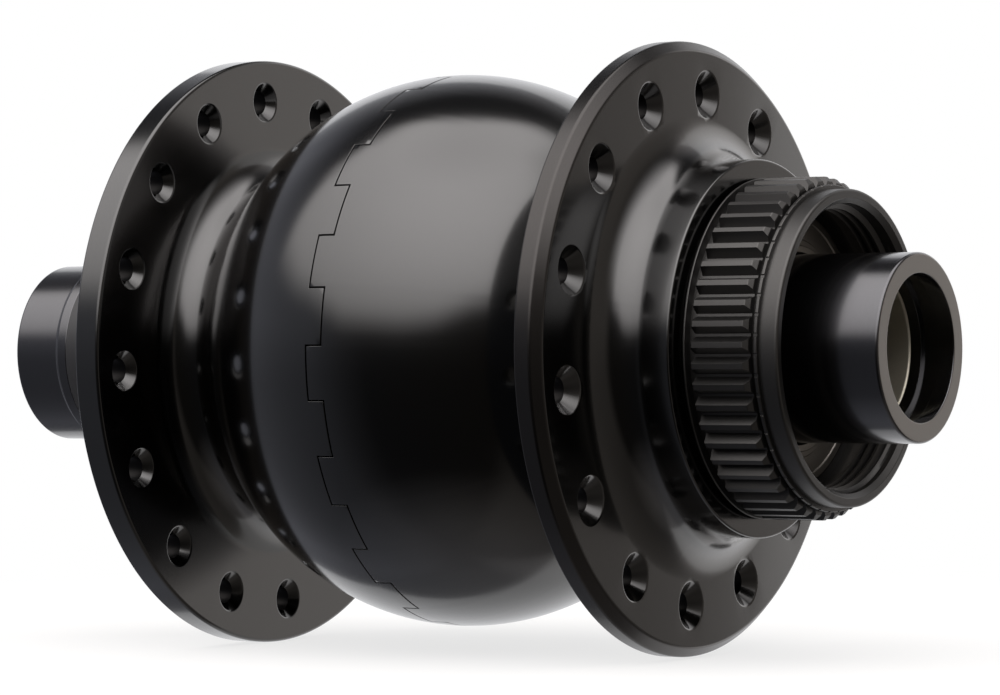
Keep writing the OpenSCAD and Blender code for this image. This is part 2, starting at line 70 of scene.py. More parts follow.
def clearedMesh(piece):
    # The mesh of the piece in edit mode, with nothing in it selected
    mesh = bmesh.from_edit_mesh(piece.data)
    for item in list(mesh.faces) + list(mesh.edges) + list(mesh.verts):
        item.select = False
    return mesh


def chooseFaces(piece, test):
    mesh = clearedMesh(piece)
    count = 0
    for face in mesh.faces:
        if test(face.calc_center_median() / mm):
            face.select = True
            count += 1
    mesh.select_flush(True)
    bmesh.update_edit_mesh(piece.data)
    return count


def chooseEdges(piece, test):
    mesh = clearedMesh(piece)
    count = 0
    for edge in mesh.edges:
        first, second = (vert.co / mm for vert in edge.verts)
        if len(edge.link_faces) == 2 and test(first, second, math.degrees(edge.calc_face_angle(0))):
            edge.select = True
            count += 1
    bmesh.update_edit_mesh(piece.data)
    return count


def chooseVerts(piece, test):
    mesh = clearedMesh(piece)
    for vert in mesh.verts:
        if test(vert.co / mm):
            vert.select = True
    mesh.select_flush_mode()
    bmesh.update_edit_mesh(piece.data)


def turnOf(spot):
    # Angle of a place round the axle, from -Y towards +Z
    return math.degrees(math.atan2(spot.z, -spot.y))


def radiusOf(spot):
    return math.hypot(spot.y, spot.z)


def roundCorners(corners, support=0.06):
    # Corners are (x, radius) or (x, radius, rounding, steps), and become (x, radius) points.
    # Beside each rounding lies a short flat, which keeps the shading of the walls even
    points = []
    for index, corner in enumerate(corners):
        here = Vector(corner[:2])
        if len(corner) == 2:
            points.append(tuple(here))
            continue
        rounding, steps = corner[2:]
        before = (Vector(corners[index - 1][:2]) - here).normalized()
        after = (Vector(corners[(index + 1) % len(corners)][:2]) - here).normalized()
        half = before.angle(after) / 2
        centre = here + (before + after).normalized() * rounding / math.sin(half)
        start = here + before * rounding / math.tan(half)
        end = here + after * rounding / math.tan(half)
        turnStart = math.atan2(*(start - centre).yx)
        turnEnd = math.atan2(*(end - centre).yx)
        sweep = (turnEnd - turnStart + math.pi) % (2 * math.pi) - math.pi
        points.append(tuple(start + before * support))
        for step in range(steps + 1):
            turn = turnStart + sweep * step / steps
            points.append((centre.x + rounding * math.cos(turn),
                           centre.y + rounding * math.sin(turn)))
        points.append(tuple(end + after * support))
    return points


def drawLine(name, spots):
    # A new piece that is one line of edges, extruded from spot to spot, left in edit mode
    deselectAll()
    bpy.ops.mesh.primitive_plane_add(size=mm, location=spots[0])
    piece = bpy.context.object
    piece.name = name
    piece.data.name = name
    bpy.ops.object.mode_set(mode="EDIT")
    bpy.ops.mesh.merge(type="CENTER")
    for here, there in zip(spots, spots[1:]):
        bpy.ops.mesh.extrude_region_move(TRANSFORM_OT_translate={"value": there - here})
    return piece


def turnedPiece(name, outline, columns, startTurn=90.0, centreY=0.0):
    # Spins a closed outline of (x, radius) points round the axle, or round a line beside it
    start = math.radians(startTurn)
    side = Vector((0, -math.cos(start), math.sin(start)))
    spots = [Vector((x, centreY, 0)) * mm + side * r * mm for x, r in outline]
    piece = drawLine(name, spots)
    mesh = clearedMesh(piece)
    for vert in mesh.verts:
        vert.select = len(vert.link_edges) == 1
    mesh.select_flush_mode()
    bmesh.update_edit_mesh(piece.data)
    bpy.ops.mesh.edge_face_add()  # joins the line's two ends
    bpy.ops.object.mode_set(mode="OBJECT")
    bpy.ops.object.transform_apply(location=True, rotation=True, scale=True)
    bpy.ops.object.mode_set(mode="EDIT")
    bpy.ops.mesh.select_all(action="SELECT")
    bpy.ops.mesh.spin(steps=columns, angle=2 * math.pi, center=(0, centreY * mm, 0), axis=(1, 0, 0))
    bpy.ops.mesh.select_all(action="SELECT")
    bpy.ops.mesh.remove_doubles(threshold=weld * mm)
    bpy.ops.mesh.normals_make_consistent(inside=False)
    bpy.ops.object.mode_set(mode="OBJECT")
    return piece


def copiesAround(piece, count, firstTurn):
    # Copies of a piece modelled at -Y, joined into one object
    copies = []
    for index in range(count):
        copy = piece.copy()
        copy.data = piece.data.copy()
        bpy.context.collection.objects.link(copy)
        turn = math.radians(firstTurn + index * 360 / count)
        copy.data.transform(Matrix.Rotation(-turn, 4, "X"))
        copies.append(copy)
    bpy.data.objects.remove(piece)
    deselectAll()
    for copy in copies:
        copy.select_set(True)
    bpy.context.view_layer.objects.active = copies[0]
    bpy.ops.object.join()
    return bpy.context.object


def cutAway(piece, tool):
    pick(piece)
    cut = piece.modifiers.new("Cut", "BOOLEAN")
    cut.operation = "DIFFERENCE"
    cut.solver = "EXACT"
    cut.object = tool
    bpy.ops.object.modifier_apply(modifier=cut.name)
    bpy.data.objects.remove(tool)


def breakEdges(piece, test, width):
    # Rounds the edges that the test picks, as wear and deburring do
    editPiece(piece, "EDGE")
    print("edges broken on", piece.name, chooseEdges(piece, test))
    bpy.ops.mesh.bevel(offset=width * mm, segments=3, profile=0.5, clamp_overlap=True)
    bpy.ops.mesh.select_mode(type="VERT")
    bpy.ops.object.mode_set(mode="OBJECT")


def finishShape(piece, body, replaced, sharpAngle=31):
    # Smooth shading that leaves flats flat, then the piece's place in the frame
    pick(piece)
    bpy.ops.object.shade_smooth_by_angle(angle=math.radians(sharpAngle))
    weigh = piece.modifiers.new("Weigh", "WEIGHTED_NORMAL")
    weigh.mode = "FACE_AREA_WITH_ANGLE"
    weigh.keep_sharp = True
    bpy.ops.object.modifier_apply(modifier=weigh.name)
    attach(piece, body)
    if replaced:
        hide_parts(*replaced)
    print("made", piece.name, len(piece.data.polygons), "faces")


# The camera stands level with the axle, 32 degrees round from square towards the rotor's side

camera = {
    "place": (241.82, -375.86, -0.165),
    "aside": math.radians(32.331),
    "pitch": 0.001036, "roll": -0.005214,  # radians
    "lens": 147.31, "sensor": 36,
    "shiftX": 0.00167,
    "clip": (0.01, 50),  # metres
}


def addCamera():
    s = camera
    aside, pitch, roll = s["aside"], s["pitch"], s["roll"]
    ahead = Vector((-math.sin(aside) * math.cos(pitch), math.cos(aside) * math.cos(pitch),
                    math.sin(pitch)))
    right = Vector((math.cos(aside), math.sin(aside), 0))
    up = right.cross(ahead)
    rolledRight = right * math.cos(roll) + up * math.sin(roll)
    rolledUp = up * math.cos(roll) - right * math.sin(roll)
    turn = Matrix((rolledRight, rolledUp, -ahead)).transposed().to_4x4()
    data = bpy.data.cameras.new("photoCamera")
    data.lens = s["lens"]
    data.sensor_width = s["sensor"]
    data.shift_x = s["shiftX"]
    data.clip_start, data.clip_end = s["clip"]
    made = bpy.data.objects.new("photoCamera", data)
    bpy.context.collection.objects.link(made)
    made.matrix_world = Matrix.Translation(Vector(s["place"]) * mm) @ turn
    bpy.context.scene.camera = made


addCamera()
print("camera placed")


# Belly and flanges: two half shells that meet in a castellated seam

shell = {  # what both halves share
    "columns": 256,
    "bellyCentreX": 0.5, "bellyCentreR": 3.0, "bellyCurve": 27.0,  # the arc of the belly
    "neckR": 19.2, "neckFillet": 3.8, "flangeEdgeRound": 0.16,
    "seamLow": -0.7, "seamHigh": 1.2, "seamGap": 0.15, "seamR": 29.7, "innerR": 27.0,
    "teeth": 16, "toothTurn": 6.9, "toothRows": 3, "outerWallR": 28.5,
    "toothEdge": 0.05, "edgeFromX": -1.2, "edgeToX": 1.8, "edgeFromR": 29, "edgeAngle": 50,
}

leftHalf = {
    "flange": (-28.6, -25.6), "flangeR": 32.65, "frontRound": 0.35, "bellySteps": 26,
    "bossR": 16.5, "bossFillet": 2.0, "bossEndX": -34.6, "bossRound": 0.4,
    "mouthR": 14.4, "mouthRound": 0.2,
    "coverSeat": [(-32.7, 14.4), (-32.7, 13.0)],
    "circlipGroove": [(-31.9, 13.0), (-31.9, 13.6), (-31.0, 13.6), (-31.0, 13.0)],
    "bearingStop": [(-26.0, 13.0), (-26.0, 12.0), (-20.2, 12.0)],
    "hollow": [(-20.2, 16.9), (-11.1, 16.9), (-11.1, 24.6), (-8.5, 24.6)],
    "hollowX": -8.5,
}

rightHalf = {
    "flange": (26.2, 29.0), "flangeR": 32.45, "frontChamfer": 1.0, "chamferRound": 0.4,
    "bellySteps": 25,
    "coneFillet": 4.6, "shoulderR": 19.8, "shoulderX": 36.6, "shoulderRound": 0.18,
    "seatStep": [(36.6, 16.7), (36.85, 16.7), (36.85, 13.0)],
    "bearingStop": [(33.7, 13.0), (33.7, 12.0), (20.2, 12.0)],
    "hollow": [(20.2, 16.9), (11.1, 16.9), (11.1, 24.6), (8.5, 24.6)],
    "hollowX": 8.5,
}

spokeHoles = {
    "radius": 1.3, "columns": 40,
    "core": 0.02,  # the fine bore in the drill itself
    "backMouth": [(-1, 0.7), (-0.02, 0.42), (0.06, 0.2), (0.26, 0)],  # along X, wider by
    "frontMouth": [(-0.1, -0.1), (-0.03, 0), (0.03, 0.24), (1, 0.24)],
    "hairEnds": 0.1, "hairReach": 0.05,
    "left": {"count": 16, "circle": 28.0, "turn": -4.0, "sinkRadius": 2.2},
    "right": {"count": 14, "circle": 27.0, "turn": -8.6, "sinkRadius": 2.55},
}


def bellyRadius(x):
    s = shell
    return s["bellyCentreR"] + math.sqrt(s["bellyCurve"] ** 2 - (x - s["bellyCentreX"]) ** 2)


def neckX(side):
    # Where the belly runs into its neck, at -1 for the left side and 1 for the right
    s = shell
    reach = math.sqrt(s["bellyCurve"] ** 2 - (s["neckR"] - s["bellyCentreR"]) ** 2)
    return s["bellyCentreX"] + side * reach


def bellyPoints(fromX, toX, steps):
    s = shell
    start = math.acos((fromX - s["bellyCentreX"]) / s["bellyCurve"])
    end = math.acos((toX - s["bellyCentreX"]) / s["bellyCurve"])
    turns = [start + (end - start) * step / steps for step in range(steps + 1)]
    return [(s["bellyCentreX"] + s["bellyCurve"] * math.cos(turn),
             s["bellyCentreR"] + s["bellyCurve"] * math.sin(turn)) for turn in turns]


def addRimTeeth(piece, faceX, towards, halfAngle, centreTurn):
    # Extrudes the rim's faces between the given angles into teeth that follow the belly's curve
    s = shell
    pitch = 360 / s["teeth"]
    length = s["seamHigh"] - s["seamLow"]
    rows = s["toothRows"]

    def inTooth(centre):
        off = (turnOf(centre) - centreTurn + pitch / 2) % pitch - pitch / 2
        onRim = abs(centre.x - faceX) < touch and radiusOf(centre) > s["innerR"]
        return onRim and abs(off) < halfAngle

    editPiece(piece, "FACE")
    print("tooth faces on", piece.name, chooseFaces(piece, inTooth))
    for row in range(rows):
        step = (towards * length / rows * mm, 0, 0)
        bpy.ops.mesh.extrude_region_move(TRANSFORM_OT_translate={"value": step})
        x = faceX + towards * length * (row + 1) / rows
        mesh = bmesh.from_edit_mesh(piece.data)
        for vert in mesh.verts:
            if vert.select and radiusOf(vert.co) > s["outerWallR"] * mm:
                grow = bellyRadius(x) * mm / radiusOf(vert.co)
                vert.co.y *= grow
                vert.co.z *= grow
        bmesh.update_edit_mesh(piece.data)
    bpy.ops.object.mode_set(mode="OBJECT")


def onSeam(first, second, angle):
    # The seam's sharp edges, which catch a fine line of light once they are broken
    s = shell
    near = all(s["edgeFromX"] < spot.x < s["edgeToX"] and radiusOf(spot) > s["edgeFromR"]
               for spot in (first, second))
    return near and angle > s["edgeAngle"]


def inBore(spot, pattern, reach):
    # True near the axis of one of a flange's spoke holes
    pitch = 360 / pattern["count"]
    off = (turnOf(spot) - pattern["turn"] + pitch / 2) % pitch - pitch / 2
    radius = radiusOf(spot)
    return math.hypot(radius - pattern["circle"], radius * math.radians(off)) < reach


def drillSpokeHoles(piece, pattern, half):
    s = spokeHoles
    backX, faceX = half["flange"]
    r, sink = s["radius"], pattern["sinkRadius"]
    back = [(backX + x, r + wider) for x, wider in s["backMouth"]]
    front = [(faceX + x, sink + wider) for x, wider in s["frontMouth"]]
    outline = [(back[0][0], s["core"])] + back + [(faceX - (sink - r), r)]
    outline += front + [(front[-1][0], s["core"])]
    drill = turnedPiece("drill", outline, s["columns"], centreY=-pattern["circle"])
    cutAway(piece, copiesAround(drill, pattern["count"], pattern["turn"]))
    # The drill's own fine bore leaves a hair of metal on each hole's axis
    low, high = backX - s["hairEnds"], faceX + s["hairEnds"]
    editPiece(piece, "VERT")
    chooseVerts(piece, lambda spot: low < spot.x < high and inBore(spot, pattern, s["hairReach"]))
    bpy.ops.mesh.delete(type="VERT")
    bpy.ops.object.mode_set(mode="OBJECT")


def makeLeftShell():
    s, h = shell, leftHalf
    back, face = h["flange"]
    neck = neckX(-1)
    outline = bellyPoints(s["seamLow"], neck, h["bellySteps"])
    outline += roundCorners([
        (neck, s["neckR"]),
        (face, s["neckR"], s["neckFillet"], 14),
        (face, h["flangeR"], h["frontRound"], 4),
        (back, h["flangeR"], s["flangeEdgeRound"], 3),
        (back, h["bossR"], h["bossFillet"], 8),
        (h["bossEndX"], h["bossR"], h["bossRound"], 5),
        (h["bossEndX"], h["mouthR"], h["mouthRound"], 3),
        *h["coverSeat"], *h["circlipGroove"], *h["bearingStop"], *h["hollow"],
        (h["hollowX"], s["innerR"]), (s["seamLow"], s["innerR"]),
    ])[1:]
    half = 90 / s["teeth"]  # half of a tooth's angle
    piece = turnedPiece("leftShell", outline, s["columns"], startTurn=s["toothTurn"] + half)
    addRimTeeth(piece, s["seamLow"], 1, half, s["toothTurn"])
    breakEdges(piece, onSeam, s["toothEdge"])
    drillSpokeHoles(piece, spokeHoles["left"], h)
    finishShape(piece, "hub", ["left_shell"])
    return piece


def makeRightShell():
    s, h = shell, rightHalf
    back, face = h["flange"]
    rimX = s["seamHigh"] + s["seamGap"]
    neck = neckX(1)
    outline = bellyPoints(rimX, neck, h["bellySteps"])
    outline += roundCorners([
        (neck, s["neckR"]),
        (back, s["neckR"], s["neckFillet"], 14),
        (back, h["flangeR"], s["flangeEdgeRound"], 3),
        (face - h["frontChamfer"], h["flangeR"], h["chamferRound"], 4),
        (face, h["flangeR"] - h["frontChamfer"], h["chamferRound"], 4),
        (face, h["shoulderR"], h["coneFillet"], 18),
        (h["shoulderX"], h["shoulderR"], h["shoulderRound"], 4),
        *h["seatStep"], *h["bearingStop"], *h["hollow"],
        (h["hollowX"], s["innerR"]), (rimX, s["innerR"]),
    ])[1:]
    half = 90 / s["teeth"]
    gapAngle = math.degrees(s["seamGap"] / s["seamR"])
    piece = turnedPiece("rightShell", outline, s["columns"], startTurn=s["toothTurn"] + half)
    # The columns beside each tooth move by the seam's width, so the gap stays even
    for side in (1, -1):
        edge = s["toothTurn"] + 2 * half + side * half
        turn = -side * gapAngle
        for vert in piece.data.vertices:
            off = (turnOf(vert.co) - edge + 2 * half) % (4 * half) - 2 * half
            if abs(off) < touch:
                vert.co = Matrix.Rotation(-math.radians(turn), 3, "X") @ vert.co
    addRimTeeth(piece, rimX, -1, half - gapAngle / 2, s["toothTurn"] + 2 * half)
    breakEdges(piece, onSeam, s["toothEdge"])
    drillSpokeHoles(piece, spokeHoles["right"], h)
    finishShape(piece, "hub", ["right_shell"])
    return piece


leftShell = makeLeftShell()
rightShell = makeRightShell()


# Rotor seat: the splined ring, its smooth rim and the lockring's socket

rotorSeat = {
    "columns": 312, "backX": 36.85, "boreR": 13.0,
    "crestR": 17.8, "rootR": 16.8, "reliefR": 16.7, "rimR": 16.45,
    "collarX": (37.1, 37.35), "collarRound": 0.08,  # the thin collar behind the spline
    "splineX": (38.0, 43.95, 44.4), "splineDrop": 0.5,  # ends in a chamfer
    "backRound": 0.12, "chamferRounds": (0.15, 0.12),
    "ridgeX": (44.7, 45.1), "ridgeR": 16.92, "ridgeRound": 0.1,
    "frontX": 47.15, "frontRound": 0.3,
    "socketR": 15.0, "mouthX": 46.65, "mouthFlare": 0.5, "mouthRound": 0.1,
    "reliefX": (41.6, 40.4), "socketRelief": 0.4,
    "coverSeat": [(40.4, 14.4), (39.6, 14.4)],
    "circlipGroove": [(39.6, 13.6), (38.7, 13.6)],
    "bearingX": 38.7,
    "grooves": 52, "turn": 1.3, "crestWidth": 0.55, "lean": 0.66,
    "cutterX": (37.65, 45.4), "cutterOver": 0.5,
    "crestRound": 0.13, "crestLength": 3, "crestNear": 0.02, "crestAngles": (20, 80),
}


def onCrest(first, second, angle):
    # The long edges of the crests, which are worn round
    s = rotorSeat
    high = all(radiusOf(spot) > s["crestR"] - s["crestNear"] for spot in (first, second))
    least, most = s["crestAngles"]
    return high and abs(first.x - second.x) > s["crestLength"] and least < angle < most


def makeGrooveCutter():
    # A bar whose lower side is drawn in to the groove's floor
    s = rotorSeat
    crestR, rootR, over = s["crestR"], s["rootR"], s["cutterOver"]
    low, high = s["cutterX"]
    pitch = 2 * math.pi * crestR / s["grooves"]
    topHalf = (pitch - s["crestWidth"]) / 2
    rootHalf = topHalf - (crestR - rootR) * s["lean"]
    overHalf = topHalf + over * s["lean"]
    deselectAll()
    middle = ((low + high) / 2 * mm, -(crestR + over + rootR) / 2 * mm, 0)
    bpy.ops.mesh.primitive_cube_add(size=mm, location=middle)
    groove = bpy.context.object
    bpy.ops.transform.resize(value=(high - low, crestR + over - rootR, 2 * overHalf))
    bpy.ops.object.transform_apply(location=True, rotation=True, scale=True)
    bpy.ops.object.mode_set(mode="EDIT")
    chooseVerts(groove, lambda spot: spot.y > -(rootR + crestR) / 2)
    bpy.ops.transform.resize(value=(1, 1, rootHalf / overHalf),
                             center_override=(0, -rootR * mm, 0))
    bpy.ops.object.mode_set(mode="OBJECT")
    return groove


def makeRotorSeat():
    s = rotorSeat
    collarBack, collarFront = s["collarX"]
    splineBack, chamferX, splineFront = s["splineX"]
    ridgeBack, ridgeFront = s["ridgeX"]
    outline = roundCorners([
        (s["backX"], s["boreR"]), (s["backX"], s["reliefR"]), (collarBack, s["reliefR"]),
        (collarBack, s["crestR"], s["collarRound"], 3),
        (collarFront, s["crestR"], s["collarRound"], 3),
        (collarFront, s["reliefR"]), (splineBack, s["reliefR"]),
        (splineBack, s["crestR"], s["backRound"], 3),
        (chamferX, s["crestR"], s["chamferRounds"][0], 3),
        (splineFront, s["crestR"] - s["splineDrop"], s["chamferRounds"][1], 3),
        (splineFront, s["rimR"]), (ridgeBack, s["rimR"]),
        (ridgeBack, s["ridgeR"], s["ridgeRound"], 3),
        (ridgeFront, s["ridgeR"], s["ridgeRound"], 3),
        (ridgeFront, s["rimR"]),
        (s["frontX"], s["rimR"], s["frontRound"], 5),
        (s["frontX"], s["socketR"] + s["mouthFlare"], s["mouthRound"], 3),
        (s["mouthX"], s["socketR"]),
        (s["reliefX"][0], s["socketR"]),
        (s["reliefX"][0], s["socketR"] + s["socketRelief"]),
        (s["reliefX"][1], s["socketR"] + s["socketRelief"]),
        *s["coverSeat"], *s["circlipGroove"], (s["bearingX"], s["boreR"]),
    ], support=0.03)
    piece = turnedPiece("rotorSeat", outline, s["columns"])
    firstTurn = s["turn"] + 180 / s["grooves"]
    cutAway(piece, copiesAround(makeGrooveCutter(), s["grooves"], firstTurn))
    breakEdges(piece, onCrest, s["crestRound"])
    finishShape(piece, "hub", ["right_shell"])
    return piece


lockringThreadCut = {
    "ridgeX": (41.7, 42.0, 42.25, 42.55), "foot": 0.03, "depth": 0.54, "pitch": 1.0,
    "turns": 4, "columns": 120, "weld": 0.001,
    "fadeX": 45.35, "fade": 0.95,  # the mouth's chamfer turns the last ridge away to nothing
    "sharpAngle": 25,
}


def makeLockringThread():
    # One turn's ridge is drawn, and the Screw modifier winds it along the socket
    s = lockringThreadCut
    base, crest = rotorSeat["socketR"] + s["foot"], rotorSeat["socketR"] - s["depth"]
    spots = [Vector((x, 0, r)) * mm for x, r in zip(s["ridgeX"], (base, crest, crest, base))]
    piece = drawLine("lockringThread", spots)
    bpy.ops.mesh.select_all(action="SELECT")
    bpy.ops.mesh.edge_face_add()
    bpy.ops.object.mode_set(mode="OBJECT")
    bpy.ops.object.transform_apply(location=True, rotation=True, scale=True)
    wind = piece.modifiers.new("Wind", "SCREW")
    wind.axis = "X"
    wind.angle = 2 * math.pi
    wind.screw_offset = s["pitch"] * mm
    wind.iterations = s["turns"]
    wind.steps = s["columns"]
    wind.render_steps = s["columns"]
    wind.use_merge_vertices = False
    bpy.ops.object.modifier_apply(modifier=wind.name)
    bpy.ops.object.mode_set(mode="EDIT")
    bpy.ops.mesh.select_all(action="SELECT")
    bpy.ops.mesh.remove_doubles(threshold=s["weld"] * mm)
    bpy.ops.mesh.fill_holes(sides=8)  # the winding's two ends
    bpy.ops.mesh.normals_make_consistent(inside=False)
    bpy.ops.object.mode_set(mode="OBJECT")
    for vert in piece.data.vertices:
        radius = radiusOf(vert.co)
        least = (crest + max(0.0, vert.co.x / mm - s["fadeX"]) * s["fade"]) * mm
        if radius < min(least, base * mm):
            vert.co.y *= min(least, base * mm) / radius
            vert.co.z *= min(least, base * mm) / radius
    finishShape(piece, "hub", [], sharpAngle=s["sharpAngle"])
    return piece


rotorSeatPiece = makeRotorSeat()
lockringThread = makeLockringThread()


# End caps, axle tube and dust covers

endCaps = {  # what both caps share, with x as it is on the right
    "columns": 160, "endX": 55.0, "endRound": 0.3,
    "mouthR": 7.65, "mouthRound": 0.12,
    "ringX": (51.2, 53.2), "ringR": 8.15, "ringRound": 0.06,  # the O-ring's groove
    "tubeEndX": 50.0, "tubeR": 8.5,
}
rightCapShape = {"innerX": 38.7, "radius": 9.8, "innerRound": 0.2}
leftCapShape = {
    "innerX": -47.5, "radius": 10.0, "collarX": (-49.2, -48.7), "collarR": 10.4,
    "slopeRounds": (0.3, 0.15), "innerRound": 0.1,
}
tubeShape = {"boreR": 7.5, "boreRound": 0.25, "endRound": 0.15}
dustCoverShape = {
    "backX": 39.6, "innerR": 10.0, "outerR": 14.4,
    "face": [(40.4, 14.4, 0.1, 2), (40.4, 13.6, 0.05, 2), (40.28, 13.5), (40.28, 11.6),
             (40.45, 11.45, 0.05, 2), (40.45, 10.85), (40.9, 10.75, 0.1, 3)],  # with a dished ring
    "lip": (40.9, 10.0, 0.1, 3),
}


def makeRightCap():
    s, c = endCaps, rightCapShape
    ringIn, ringOut = s["ringX"]
    outline = roundCorners([
        (c["innerX"], s["tubeR"]), (c["innerX"], c["radius"], c["innerRound"], 3),
        (s["endX"], c["radius"], s["endRound"], 5), (s["endX"], s["mouthR"], s["mouthRound"], 3),
        (ringOut, s["mouthR"], s["ringRound"], 2), (ringOut, s["ringR"]),
        (ringIn, s["ringR"]), (ringIn, s["mouthR"], s["ringRound"], 2),
        (s["tubeEndX"], s["mouthR"]), (s["tubeEndX"], s["tubeR"]),
    ], support=0.03)
    piece = turnedPiece("rightEndCap", outline, s["columns"])
    finishShape(piece, "axle", ["right_end_cap"])
    return piece


def makeLeftCap():
    s, c = endCaps, leftCapShape
    ringIn, ringOut = s["ringX"]
    slopeOut, slopeIn = c["collarX"]
    outline = roundCorners([
        (c["innerX"], s["tubeR"]), (-s["tubeEndX"], s["tubeR"]), (-s["tubeEndX"], s["mouthR"]),
        (-ringIn, s["mouthR"], s["ringRound"], 2), (-ringIn, s["ringR"]),
        (-ringOut, s["ringR"]), (-ringOut, s["mouthR"], s["ringRound"], 2),
        (-s["endX"], s["mouthR"], s["mouthRound"], 3), (-s["endX"], c["radius"], s["endRound"], 5),
        (slopeOut, c["radius"], c["slopeRounds"][0], 3),
        (slopeIn, c["collarR"], c["slopeRounds"][1], 3),
        (c["innerX"], c["collarR"], c["innerRound"], 3),
    ], support=0.03)
    piece = turnedPiece("leftEndCap", outline, s["columns"])
    finishShape(piece, "axle", ["left_end_cap"])
    return piece


def makeAxleTube():
    s, t = endCaps, tubeShape
    outline = roundCorners([
        (-s["tubeEndX"], t["boreR"], t["boreRound"], 3),
        (-s["tubeEndX"], s["tubeR"], t["endRound"], 3),
        (s["tubeEndX"], s["tubeR"], t["endRound"], 3),
        (s["tubeEndX"], t["boreR"], t["boreRound"], 3),
    ])
    piece = turnedPiece("axleTube", outline, s["columns"])
    finishShape(piece, "axle", ["axle_tube"])
    return piece


def makeRightDustCover():
    s = dustCoverShape
    outline = roundCorners([(s["backX"], s["innerR"]), (s["backX"], s["outerR"]),
                            *s["face"], s["lip"]], support=0.02)
    piece = turnedPiece("rightDustCover", outline, endCaps["columns"])
    finishShape(piece, "hub", ["right_dust_cover"])
    return piece


rightCap = makeRightCap()
leftCap = makeLeftCap()
axleTube = makeAxleTube()
rightDustCover = makeRightDustCover()


# Materials

def linear(hexColour):
    # An sRGB hex value as the linear colour that the shader takes
    parts = [int(hexColour[i:i + 2], 16) / 255 for i in (1, 3, 5)]
    return tuple(p / 12.92 if p <= 0.04045 else ((p + 0.055) / 1.055) ** 2.4 for p in parts) + (1,)


def addNode(tree, kind, values=None, links=None, **settings):
    # Adds one node with its settings, its socket values and its links
    made = tree.nodes.new(kind)
    for name, value in settings.items():
        setattr(made, name, value)
    for name, value in (values or {}).items():
        made.inputs[name].default_value = value
    for name, source in (links or {}).items():
        tree.links.new(source, made.inputs[name])
    return made


def newMaterial(name):
    material = bpy.data.materials.new(name)
    material.use_nodes = True
    material.node_tree.nodes.clear()
    return material, material.node_tree


patterns = {
    "grain": {"Detail": 3.0, "Roughness": 0.55},
    "cloudSize": 14, "cloud": {"Detail": 2.0},
    "lineLength": 30, "line": {"Scale": 1.0, "Detail": 2.0},
}


def hubFinish(name, colour, colourTwo, roughness, spread, grain, bump, metallic=1.0, coat=0.0,
              coatRoughness=0.1, ior=1.5, turned=0.0):
    # Fine grain in colour, gloss and height. Grain, bump and the turning lines' spacing are in
    # millimetres, drawn coarser than real ones where those would be too fine to show
    s = patterns
    material, tree = newMaterial(name)
    place = addNode(tree, "ShaderNodeTexCoord").outputs["Object"]
    speckle = addNode(tree, "ShaderNodeTexNoise", {"Scale": 1 / (grain * mm), **s["grain"]},
                      {"Vector": place}).outputs["Fac"]
    cloud = addNode(tree, "ShaderNodeTexNoise", {"Scale": 1 / (s["cloudSize"] * mm), **s["cloud"]},
                    {"Vector": place}).outputs["Fac"]
    gloss = addNode(tree, "ShaderNodeMapRange",
                    {"To Min": roughness - spread, "To Max": roughness + spread},
                    {"Value": cloud}).outputs[0]
    tint = addNode(tree, "ShaderNodeMix", {"A": linear(colour), "B": linear(colourTwo)},
                   {"Factor": speckle}, data_type="RGBA").outputs["Result"]
    height = speckle
    if turned:
        along, across = 1 / (turned * mm), 1 / (s["lineLength"] * mm)
        stretched = addNode(tree, "ShaderNodeMapping", {"Scale": (along, across, across)},
                            {"Vector": place}).outputs[0]
        lines = addNode(tree, "ShaderNodeTexNoise", s["line"],
                        {"Vector": stretched}).outputs["Fac"]
        height = addNode(tree, "ShaderNodeMath", None, {0: lines, 1: height},
                         operation="ADD").outputs[0]
    relief = addNode(tree, "ShaderNodeBump", {"Strength": 1.0, "Distance": bump * mm},
                     {"Height": height}).outputs[0]
    shader = addNode(tree, "ShaderNodeBsdfPrincipled", {
        "Metallic": metallic, "IOR": ior, "Coat Weight": coat, "Coat Roughness": coatRoughness,
    }, {"Base Color": tint, "Roughness": gloss, "Normal": relief})
    addNode(tree, "ShaderNodeOutputMaterial", None, {"Surface": shader.outputs[0]})
    return material


# Black anodised aluminium, polished first: a clear dark film over a dull metal gleam
blackAnodised = hubFinish("blackAnodisedAluminium", "#3b3b3b", "#404040", 0.19, 0.02, 0.25, 0.00006,
                          coat=1.0, coatRoughness=0.12)
# The caps' dye is a little thinner and cooler
capAnodised = hubFinish("blackAnodisedCap", "#434346", "#4b4b4e", 0.24, 0.04, 0.25, 0.00006,
                        coat=1.0, coatRoughness=0.13)
# The same dye over the seat's turned faces, which the cutter left silkier
satinAnodised = hubFinish("satinBlackAnodised", "#434241", "#4a4948", 0.42, 0.03, 0.2, 0.0002,
                          coat=0.35, coatRoughness=0.34, turned=0.12)
# The left flange's face was faced off and polished; its colour is lighter and warmer than the
# shell's black, a painted warm reflection on that face
flangeFacePaintedReflection = hubFinish("turnedFlangeFacePaintedReflection", "#413e3c", "#474442", 0.2, 0.02, 0.2, 0.0001,
                           coat=1.0, coatRoughness=0.13)
# The right flange's rim has a thinner film, so its gleam is softer
rimAnodised = hubFinish("turnedFlangeRim", "#373534", "#3d3b3a", 0.26, 0.03, 0.2, 0.0001,
                        coat=0.35, coatRoughness=0.2)
# Clear anodised aluminium with fine turning lines, a dull warm grey, drawn lighter still: painted
# light on the cover, which lies in the socket's shade
coverAnodisedPaintedLight = hubFinish("turnedDustCoverPaintedLight", "#a39f99", "#aeaaa4", 0.4, 0.04, 0.2, 0.0006,
                          turned=0.12)
# Bead blasted before anodising, so the cap's end reads as an even warm grey
blastedAnodised = hubFinish("blastedCapFace", "#9b9894", "#a3a09d", 0.42, 0.03, 0.12, 0.0004)
# The drill leaves the bores rough, and their colour is a darker black than the shell's: painted
# shade inside the spoke holes
boreShadeAnodised = hubFinish("drilledBorePaintedShade", "#1f1e1e", "#282726", 0.45, 0.05, 0.12, 0.0006)
